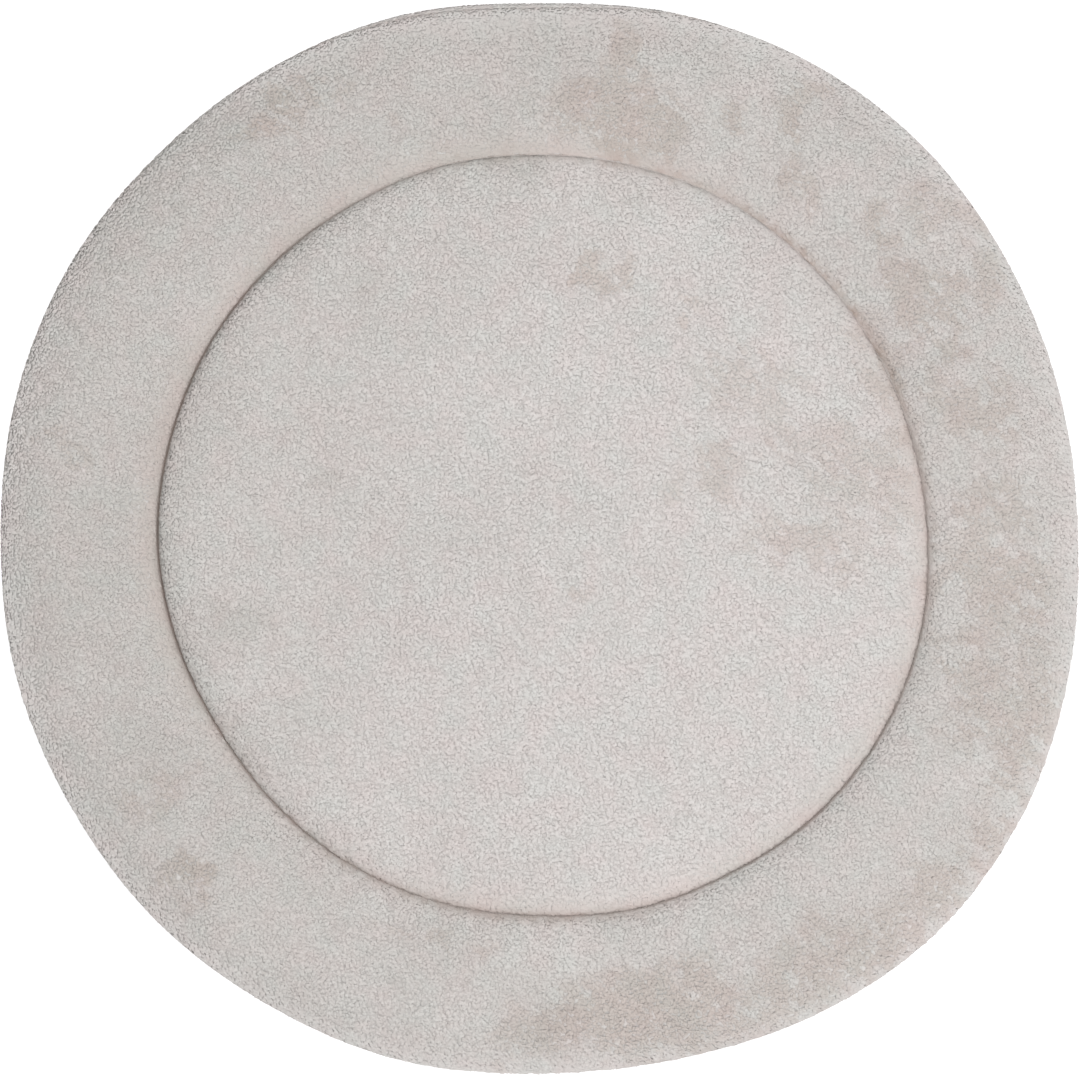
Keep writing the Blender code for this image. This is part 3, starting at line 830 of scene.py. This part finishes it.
def plushMaterial(name, tufts=0):
    # pale warm grey pile: darker at the root as painted shade, light at the tip, pinker where it is stroked back.
    # Fibres run along each tuft in its own square of the map, or with the nap on the cloth.
    material, shader, wire = newMaterial(name)
    place = wire.node("ShaderNodeTexCoord", {}, {}, "Object")
    cloud = wire.node("ShaderNodeTexNoise", {}, {"Vector": place, "Scale": plush["cloudScale"], "Detail": 3.0})
    if tufts:
        squares = math.ceil(math.sqrt(tufts))
        ownMap = wire.node("ShaderNodeUVMap", {"uv_map": "OFBake"}, {})
        fine = wire.node("ShaderNodeMapping", {}, {
            "Vector": ownMap,
            "Scale": (squares * plush["fibresAcross"], squares * plush["fibresAlong"], 1.0),
        })
        fibre = wire.node("ShaderNodeTexNoise", {"noise_dimensions": "2D"}, {"Vector": fine, "Scale": 1.0, "Detail": 1.0})
        rise = wire.node("ShaderNodeAttribute", {"attribute_name": "rise"}, {}, "Fac")
        tone = wire.node("ShaderNodeAttribute", {"attribute_name": "tone"}, {}, "Fac")
        stroked = wire.node("ShaderNodeAttribute", {"attribute_name": "stroked"}, {}, "Fac")
        paintedShadeAndMottle = wire.node("ShaderNodeAttribute", {"attribute_name": "paintedShadeAndMottle"}, {}, "Fac")
        calm = wire.node("ShaderNodeAttribute", {"attribute_name": "calm"}, {}, "Fac")
        light = (tone - 0.5) * plush["toneContrast"] + (fibre - 0.5) * plush["fibreContrast"]
        # the tufts are darker towards the root by rise: painted shade between them
        light = light * (1.0 - calm) + rise * 0.4 + 0.25 + (cloud - 0.5) * plush["cloudContrast"]
        colour = mixed(wire, light, plush["dark"], plush["light"])
        colour = mixed(wire, stroked, colour, plush["strokedTint"], "MULTIPLY")
        # painted shade on the ring, towards the upper left, beside the sewn circle and in listed patches, with uneven
        # mottle
        colour = mixed(wire, paintedShadeAndMottle, colour, plush["paintedShadeTint"], "MULTIPLY")
        smooth = wire.node("ShaderNodeAttribute", {"attribute_name": "smooth"}, {}, "Fac")
        colour = mixed(wire, smooth, colour, plush["smoothTint"], "MULTIPLY")
    else:
        combed = wire.node("ShaderNodeMapping", {}, {
            "Vector": place,
            "Rotation": (0.0, 0.0, -math.radians(pile["napDeg"])),
            "Scale": plush["fibreScale"],
        })
        fibre = wire.node("ShaderNodeTexNoise", {}, {"Vector": combed, "Scale": 1.0, "Detail": 2.0, "Distortion": 0.8})
        light = 0.5 + (fibre - 0.5) * plush["fibreContrast"] + (cloud - 0.5) * plush["cloudContrast"]
        colour = mixed(wire, light, plush["dark"], plush["ground"])
    # painted shade in the crease and the edge seam, and painted shadow beside the crease
    paintedCreaseShade = wire.node("ShaderNodeAttribute", {"attribute_name": "paintedCreaseShade"}, {}, "Fac")
    colour = mixed(wire, paintedCreaseShade, colour, plush["paintedCreaseShadeTint"], "MULTIPLY")
    blush = wire.node("ShaderNodeTexNoise", {}, {"Vector": place, "Scale": plush["blushScale"], "Detail": 2.0})
    blush = (blush - 0.5) * plush["blushContrast"] + 0.5
    tint = mixed(wire, blush, plush["paleTint"], plush["blushTint"])
    colour = mixed(wire, 1.0, colour, tint, "MULTIPLY")
    bump = wire.node("ShaderNodeBump", {}, {"Strength": 0.3, "Distance": 0.0006, "Height": fibre}, "Normal")
    tree = material.node_tree
    tree.links.new(colour.socket, shader.inputs["Base Color"])
    tree.links.new(bump.socket, shader.inputs["Normal"])
    shader.inputs["Roughness"].default_value = plush["roughness"]
    shader.inputs["Sheen Weight"].default_value = plush["sheen"]
    shader.inputs["Specular IOR Level"].default_value = 0.2
    return material


print("materials")
clothMaterial = plushMaterial("plushGround")
for piece in pilePieces + [underPile]:
    piece.data.materials.append(plushMaterial(piece.name + "Plush", len(piece.data.polygons) // 4))
for piece in (faceCloth, underCloth):
    piece.data.materials.append(clothMaterial)
thread, shader, wire = newMaterial("thread")
shader.inputs["Base Color"].default_value = stitching["colour"]
shader.inputs["Roughness"].default_value = 0.7
stitches.data.materials.append(thread)

# The photograph's frame: 1080 by 1077 pixels, each this much of the mat at its widest line
view = {
    "pixel": 0.0008743,
    "width": 1080,
    "lens": 85.0,
    "sensor": 36.0,
    "shiftX": -1.0,  # the frame's middle from the mat's turning middle, in pixels
    "shiftY": 0.0,
}


def addCamera():
    # straight above the mat, at the distance where the frame is as wide as the photograph
    lens = bpy.data.cameras.new("camera")
    lens.lens = view["lens"]
    lens.sensor_width = view["sensor"]
    lens.clip_end = 100.0
    camera = bpy.data.objects.new("camera", lens)
    wide = view["pixel"] * view["width"]
    far = view["lens"] * wide / view["sensor"]
    camera.location = (
        middleX + view["shiftX"] * view["pixel"],
        middleY + view["shiftY"] * view["pixel"],
        mat["edgeHeight"] + far,
    )
    bpy.context.scene.collection.objects.link(camera)
    bpy.context.scene.camera = camera


studio = {
    "floor": (0.93, 0.93, 0.93, 1.0),
    "floorGlow": 0.30,
    "world": (1.0, 1.0, 1.0, 1.0),
    "worldStrength": 0.9,
    "keyPlace": (2.2, -1.4, 2.4),
    "keySize": 1.6,
    "keyPower": 32.0,
    "topPlace": (-0.3, 0.5, 3.4),
    "topSize": 2.5,
    "topPower": 30.0,
    "fillPlace": (-2.0, 1.8, 1.1),
    "fillSize": 1.8,
    "fillPower": 6.0,
}


def addLamp(name, place, size, power):
    # a square lamp that faces the mat
    lamp = bpy.data.lights.new(name, "AREA")
    lamp.size = size
    lamp.energy = power
    holder = bpy.data.objects.new(name, lamp)
    holder.location = place
    aim = -np.array(place)
    holder.rotation_euler = (
        math.atan2(math.hypot(aim[0], aim[1]), -aim[2]),
        0.0,
        math.atan2(aim[1], aim[0]) - math.pi / 2.0,
    )
    bpy.context.scene.collection.objects.link(holder)


def addStudio():
    # a round pale floor, a pale world, a key lamp from the lower right, a soft one overhead and a
    # weak low one from the upper left
    angle = np.linspace(0.0, 2.0 * np.pi, 65)[:-1]
    points = np.stack([30.0 * np.cos(angle), 30.0 * np.sin(angle), np.full(64, -0.0002)], -1)
    mesh = bpy.data.meshes.new("floor")
    mesh.from_pydata(points.tolist(), [], [list(range(64))])
    floor = bpy.data.objects.new("floor", mesh)
    bpy.context.scene.collection.objects.link(floor)
    material, shader, wire = newMaterial("paleFloor")
    shader.inputs["Base Color"].default_value = studio["floor"]
    shader.inputs["Roughness"].default_value = 0.9
    shader.inputs["Emission Color"].default_value = studio["floor"]
    shader.inputs["Emission Strength"].default_value = studio["floorGlow"]
    mesh.materials.append(material)
    world = bpy.data.worlds.new("paleRoom")
    world.use_nodes = True
    world.node_tree.nodes["Background"].inputs["Color"].default_value = studio["world"]
    world.node_tree.nodes["Background"].inputs["Strength"].default_value = studio["worldStrength"]
    bpy.context.scene.world = world
    addLamp("keyLamp", studio["keyPlace"], studio["keySize"], studio["keyPower"])
    addLamp("topLamp", studio["topPlace"], studio["topSize"], studio["topPower"])
    addLamp("fillLamp", studio["fillPlace"], studio["fillSize"], studio["fillPower"])
    bpy.context.scene.view_settings.view_transform = "Standard"


print("camera and studio")
addCamera()
addStudio()
